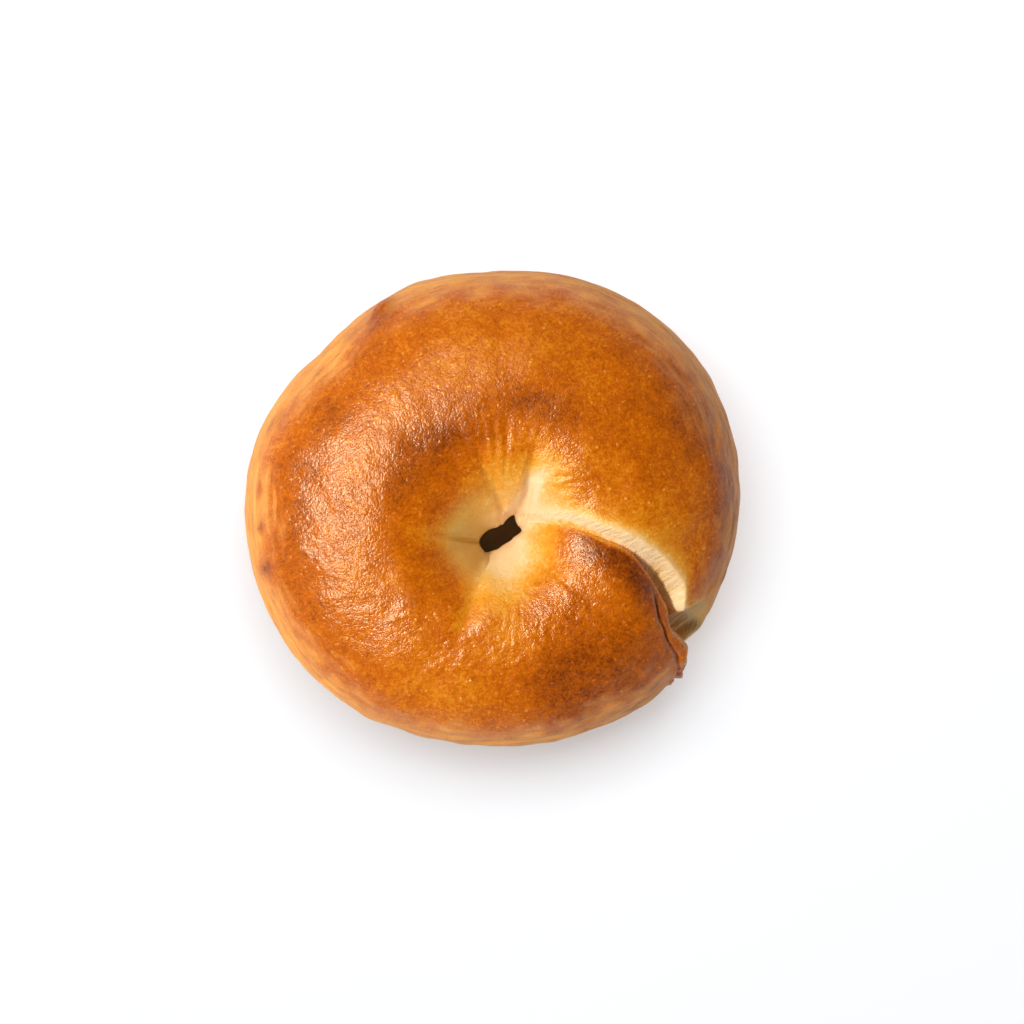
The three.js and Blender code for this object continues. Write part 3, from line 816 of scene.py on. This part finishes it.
# the spots' paleness is partly pale blisters and partly painted glints
SPOT_SHARE, SPOT_PALE_AND_GLINT, SPOT_FLAT = 0.5, 0.14, 0.4  # of the cells, in browning, of the radius
CREAM_GRAIN = 0.3  # share of the mottling that shows on cream
FULL_GRAIN_AT = 0.55  # browning from which all of it shows
STREAKS, STREAK_DRAW = ((0.9, 0.6), (2.6, 0.8)), 0.22  # mm wide and swing, width over length
FIBRE_SIZE, FIBRE_SWING, FIBRE_DRAW = 0.8, 0.12, 0.25  # mm wide, swing, width over length

where = add("TexCoord", {}, "Object")
dough_map = add("Attribute", {}, "Vector", attribute_name="dough_map")
side_field = add("Attribute", {}, "Fac", attribute_name="side")
streaked_field = add("Attribute", {}, "Fac", attribute_name="streaked")
stretched_field = add("Attribute", {}, "Fac", attribute_name="stretched")
fibre_flat = add("Attribute", {}, "Vector", attribute_name="fibre_map")
wrinkled_field = add("Attribute", {}, "Fac", attribute_name="wrinkled")
browned_field = add("Attribute", {}, "Fac", attribute_name="browning")
painted_shade_field = add("Attribute", {}, "Fac", attribute_name="painted_shade")
shade_yellow_field = add("Attribute", {}, "Fac", attribute_name="shade_yellowed")
grain_range = {"Value": browned_field, "From Max": FULL_GRAIN_AT, "To Min": CREAM_GRAIN}
grain_share = add("MapRange", grain_range)
browned = browned_field
for size, swing in PATCHES:
    patch = add("TexNoise", {"Vector": where, "Scale": 1 / (size * MM), "Detail": 1.0})
    swung = add("Math", {0: patch, 1: swing, 2: -swing / 2}, operation="MULTIPLY_ADD")
    browned = add("Math", {0: swung, 1: grain_share, 2: browned}, operation="MULTIPLY_ADD")

# Long thin streaks on the wall: the map is squeezed along the rim, so its noise is drawn out.
along_rim = add("VectorMath", {0: dough_map, 1: (STREAK_DRAW, 1, 1)}, operation="MULTIPLY")
side_streaks = 0.0
for width, swing in STREAKS:
    streaks = add("TexNoise", {"Vector": along_rim, "Scale": 1 / (width * MM), "Detail": 2.0})
    swung = add("Math", {0: streaks, 1: swing, 2: -swing / 2}, operation="MULTIPLY_ADD")
    layers = {0: swung, 1: streaked_field, 2: side_streaks}
    side_streaks = add("Math", layers, operation="MULTIPLY_ADD")
browned = add("Math", {0: side_streaks, 1: browned}, operation="ADD")

# Drawn-out fibres in the stretched hollow: the same, along the way it was pulled.
drawn_out = add("VectorMath", {0: fibre_flat, 1: (FIBRE_DRAW, 1, 1)}, operation="MULTIPLY")
strands = add("TexNoise", {"Vector": drawn_out, "Scale": 1 / (FIBRE_SIZE * MM), "Detail": 3.0})
sharper = {"Value": strands, "From Min": 0.35, "From Max": 0.65, "To Min": -0.5, "To Max": 0.5}
strands = add("MapRange", sharper)
strands = add("Math", {0: strands, 1: stretched_field}, operation="MULTIPLY")
browned = add("Math", {0: strands, 1: -FIBRE_SWING, 2: browned}, operation="MULTIPLY_ADD")

# Pale spots, partly pale blisters and partly painted glints: a disc in the middle of some of the
# cells.
cells = {"Vector": where, "Scale": 1 / (SPOT_CELL * MM)}
spot_distance = add("TexVoronoi", cells, "Distance")
spot_draw = add("SeparateColor", {"Color": add("TexVoronoi", cells, "Color")})
spot_edge = SPOT_RADIUS / SPOT_CELL
disc_range = {"Value": spot_distance, "From Min": spot_edge, "From Max": SPOT_FLAT * spot_edge}
spots = add("MapRange", disc_range, interpolation_type="SMOOTHSTEP")
chosen = add("Math", {0: spot_draw, 1: SPOT_SHARE}, operation="LESS_THAN")
chosen = add("Math", {0: chosen, 1: grain_share}, operation="MULTIPLY")
spots = add("Math", {0: spots, 1: chosen}, operation="MULTIPLY")
browned = add("Math", {0: spots, 1: -SPOT_PALE_AND_GLINT, 2: browned}, operation="MULTIPLY_ADD")

# %% Crust colour
CRUST_RAMP = (
    (0.0, "fde2ca"), (0.14, "f9ca8a"), (0.3, "f0a632"), (0.46, "e0850e"),
    (0.6, "cc6800"), (0.74, "b05600"), (0.88, "8b3e00"), (1.0, "662900"),
)
WALL_TAN, WALL_SHARE, STREAK_BARE = "f4ad60", 0.72, 1.3  # the streaks keep the tan off
# the olive is painted shade, beside the lip and below the ledge
# the yellow cream is painted shade round the hole's far end
PAINTED_SHADE_OLIVE, SHADE_YELLOW_CREAM = "ccaa66", "e0d484"

crust_colour = add("ValToRGB", {"Fac": browned}, "Color")
ramp = crust_colour.node.color_ramp
while len(ramp.elements) < len(CRUST_RAMP):
    ramp.elements.new(0.5)
for element, (position, colour) in zip(ramp.elements, CRUST_RAMP):
    element.position = position
    element.color = linear(colour)
tan = add("Math", {0: side_field, 1: WALL_SHARE}, operation="MULTIPLY")
bared = {0: side_streaks, 1: -STREAK_BARE, 2: tan}
tan = add("Math", bared, operation="MULTIPLY_ADD", use_clamp=True)
mixed = crust_colour
# the olive mix is painted shade
# the yellow cream mix is painted shade
for share_field, colour in ((tan, WALL_TAN), (painted_shade_field, PAINTED_SHADE_OLIVE), (shade_yellow_field, SHADE_YELLOW_CREAM)):
    layers = {"Fac": share_field, "Color1": mixed, "Color2": linear(colour)}
    mixed = add("MixRGB", layers)
tree.links.new(mixed, shader.inputs["Base Color"])

# %% [markdown]
# The finest relief is a bump in the material. Its height is worked out in millimetres, so each
# layer is drawn at its real depth: leathery wrinkles of half a millimetre to two, pores as fine
# as the finest of them, the pale spots, the fibres of stretched dough in the hollow, and the
# streaks of the wall. The index of refraction of dry starch is near 1.5. Browned crust is
# glossier than pale dough.

# %% Fine relief and gloss
LEATHER = ((1.7, 0.13), (0.8, 0.16), (0.46, 0.17))  # size and height, mm
QUIET_SHARE = 0.36  # of the leathery relief, outside the wrinkled zones
PORE_SIZE, PORE_HEIGHT = 0.45, 0.03
SPOT_RISE, STREAK_RISE, STRAND_RISE = 0.07, -0.3, 0.12  # mm at the full strength of each
ROUGH_CREAM, ROUGH_FALL = 0.5, -0.42  # where nothing browned, and change up to full browning
ROUGH_LEAST, ROUGHER_WALL = 0.26, 0.35

height_mm = 0.0
for size, rise in LEATHER:
    domes = add("TexNoise", {"Vector": where, "Scale": 1 / (size * MM), "Detail": 1.0})
    height_mm = add("Math", {0: domes, 1: rise, 2: height_mm}, operation="MULTIPLY_ADD")
louder = {0: wrinkled_field, 1: 1 - QUIET_SHARE, 2: QUIET_SHARE}
loudness = add("Math", louder, operation="MULTIPLY_ADD")
height_mm = add("Math", {0: height_mm, 1: loudness}, operation="MULTIPLY")
pores = add("TexNoise", {"Vector": where, "Scale": 1 / (PORE_SIZE * MM), "Detail": 1.0})
raised = (pores, PORE_HEIGHT), (spots, SPOT_RISE), (side_streaks, STREAK_RISE), (strands, STRAND_RISE)
for layer, rise in raised:
    height_mm = add("Math", {0: layer, 1: rise, 2: height_mm}, operation="MULTIPLY_ADD")
bumped = add("Bump", {"Height": height_mm, "Distance": MM, "Strength": 1.0})
tree.links.new(bumped, shader.inputs["Normal"])

matt = add("Math", {0: browned, 1: ROUGH_FALL, 2: ROUGH_CREAM}, operation="MULTIPLY_ADD")
matt = add("Math", {0: matt, 1: ROUGH_LEAST}, operation="MAXIMUM")
matt = add("Math", {0: side_field, 1: ROUGHER_WALL, 2: matt}, operation="MULTIPLY_ADD")
tree.links.new(matt, shader.inputs["Roughness"])
shader.inputs["IOR"].default_value = 1.5
shader.inputs["Specular IOR Level"].default_value = 0.64
crust.data.materials.append(material)

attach(crust, "root")
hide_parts("bagel")

# %% [markdown]
# ## Floor, light and camera
#
# The bagel lies on a light table: white paper with a glow of its own, which keeps the shadows
# faint and lights the lower wall. The glow has three strengths: as it is seen, as it lights
# things, and as the crust mirrors it, so that a bright table lays no haze on the glossy top. Just
# under the bagel the paper is grey and doesn't glow, so that no light comes up through the hole.

# %% Floor
FLOOR_RADIUS = 3.0  # metres
PAPER, PAPER_GLOW, PAPER_WHITE = "b4b7bb", 0.46, "fcfdff"
MASK_GREY, MASK_RADIUS = "c8c0b4", 30  # mm
TABLE_DEPTH, MASK_DEPTH = 0.2, 0.1  # mm below the bagel's base
GLOW_CAST, GLOW_MIRRORED = 1.25, 0.1  # times the glow that is seen
PAPER_ROUGHNESS = 0.9


def flat_disc(name, radius, height, segments=96):
    """A level disc of the stage, in metres."""
    turns = [2 * math.pi * step / segments for step in range(segments)]
    mesh = bpy.data.meshes.new(name)
    corners = [(radius * math.cos(turn), radius * math.sin(turn), height) for turn in turns]
    mesh.from_pydata(corners, [], [range(segments)])
    obj = bpy.data.objects.new(name, mesh)
    bpy.context.scene.collection.objects.link(obj)
    obj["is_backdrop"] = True
    return obj


def paper(name, colour, glow):
    """Matt paper; its glow is given as it is seen."""
    sheet = bpy.data.materials.new(name)
    sheet.use_nodes = True
    inputs = sheet.node_tree.nodes["Principled BSDF"].inputs
    inputs["Base Color"].default_value = linear(colour)
    inputs["Roughness"].default_value = PAPER_ROUGHNESS
    inputs["Specular IOR Level"].default_value = 0
    inputs["Emission Color"].default_value = linear(PAPER_WHITE)
    seen = add("LightPath", {}, "Is Camera Ray", tree=sheet.node_tree)
    mirrored = add("LightPath", {}, "Is Glossy Ray", tree=sheet.node_tree)
    unseen = {"Value": mirrored, "To Min": GLOW_CAST * glow, "To Max": GLOW_MIRRORED * glow}
    unseen = add("MapRange", unseen, tree=sheet.node_tree)
    strength = add("MapRange", {"Value": seen, "To Min": unseen, "To Max": glow}, tree=sheet.node_tree)
    sheet.node_tree.links.new(strength, inputs["Emission Strength"])
    return sheet


table = flat_disc("light_table", FLOOR_RADIUS, -TABLE_DEPTH * MM)
table.data.materials.append(paper("glowing_paper", PAPER, PAPER_GLOW))
mask = flat_disc("paper_mask", MASK_RADIUS * MM, -MASK_DEPTH * MM)
mask.data.materials.append(paper("grey_paper", MASK_GREY, 0))

# %% [markdown]
# The world is a white tent, bright near the horizon and dim overhead, so that little of it is
# mirrored in the top. Two soft boxes light the bagel: a strong one, high and to one side, gives
# the sheen, and a weak one carries it a little further round. A third lights the floor alone, by
# light linking, so that the floor can be white without a second sheen on the crust. Azimuths and
# elevations are in degrees, azimuths as the camera sees them: 0 is right and 90 is up.

# %% World and soft boxes
VIEW_TURN = -29 * DEG
TENT_ZENITH, TENT_HORIZON, TENT_FALL = 0.04, 0.48, 2.3
TENT_WHITE, BOX_WARM, BOX_WHITE = "ffeed6", "fff6d2", "ffffff"
BOX_AWAY = 1.2  # metres
world = bpy.data.worlds.new("white_tent")
world.use_nodes = True
tree = world.node_tree
toward = add("TexCoord", {}, "Generated", tree=tree)
toward_sky = add("SeparateXYZ", {"Vector": toward}, "Z", tree=tree)
low_down = add("Math", {0: 1.0, 1: toward_sky}, tree=tree, operation="SUBTRACT", use_clamp=True)
fall = add("Math", {0: low_down, 1: TENT_FALL}, tree=tree, operation="POWER")
tent = {0: fall, 1: TENT_HORIZON - TENT_ZENITH, 2: TENT_ZENITH}
glow = add("Math", tent, tree=tree, operation="MULTIPLY_ADD")
tree.links.new(glow, tree.nodes["Background"].inputs["Strength"])
tree.nodes["Background"].inputs["Color"].default_value = linear(TENT_WHITE)
bpy.context.scene.world = world


def soft_box(name, azimuth, elevation, wide, high, watts, colour, lit):
    """A rectangle of light that looks at the origin and lights only the objects in `lit`."""
    light = bpy.data.lights.new(name, "AREA")
    light.shape = "RECTANGLE"
    light.size, light.size_y = wide, high
    light.energy = watts
    light.color = linear(colour)[:3]
    lamp = bpy.data.objects.new(name, light)
    turned = azimuth * DEG + VIEW_TURN
    level = math.cos(elevation * DEG)
    toward = Vector((level * math.cos(turned), level * math.sin(turned), math.sin(elevation * DEG)))
    lamp.location = toward * BOX_AWAY
    lamp.rotation_euler = toward.to_track_quat("Z", "Y").to_euler()
    bpy.context.scene.collection.objects.link(lamp)
    lamp.light_linking.receiver_collection = bpy.data.collections.new("lit_by_" + name)
    for obj in lit:
        lamp.light_linking.receiver_collection.objects.link(obj)


soft_box("side_box", azimuth=181, elevation=59, wide=0.8, high=0.13, watts=15.8,
         colour=BOX_WARM, lit=(crust, mask))
soft_box("top_box", azimuth=116, elevation=60, wide=0.5, high=0.16, watts=1.5,
         colour=BOX_WARM, lit=(crust, mask))
soft_box("floor_box", azimuth=112, elevation=68, wide=1.4, high=0.8, watts=23.5,
         colour=BOX_WHITE, lit=(table,))
print("lamps:", len(bpy.data.lights))

# %% [markdown]
# The camera looks straight down from a little over a metre, which keeps the perspective weak. Its
# focal length is worked out from the width that it should take in at the waist.

# %% Camera
CAMERA_HEIGHT = 1.1  # metres
VIEW_WIDTH = 0.2441  # metres, at the waist
SENSOR = 36
VIEW_PAST_HOLE = (2.86, 5.48)  # mm right of the hole and above it, for the view's middle
camera_data = bpy.data.cameras.new("camera")
camera_data.sensor_width = SENSOR
camera_data.lens = SENSOR * (CAMERA_HEIGHT - WAIST_HEIGHT * MM) / VIEW_WIDTH
camera = bpy.data.objects.new("camera", camera_data)
past_right, past_up = VIEW_PAST_HOLE
off_hole = Euler((0, 0, VIEW_TURN)).to_matrix() @ Vector((past_right * MM, past_up * MM, 0))
camera.location = Vector((*(-middle[:2] * MM), CAMERA_HEIGHT)) + off_hole
camera.rotation_euler = (0, 0, VIEW_TURN)
bpy.context.scene.collection.objects.link(camera)
bpy.context.scene.camera = camera
bpy.context.scene.view_settings.view_transform = "Standard"
print("lens, mm:", round(camera_data.lens, 1))

# %% Finish
low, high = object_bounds()
print("visual, mm:", [round(v * 1000, 2) for v in (*low, *high)])
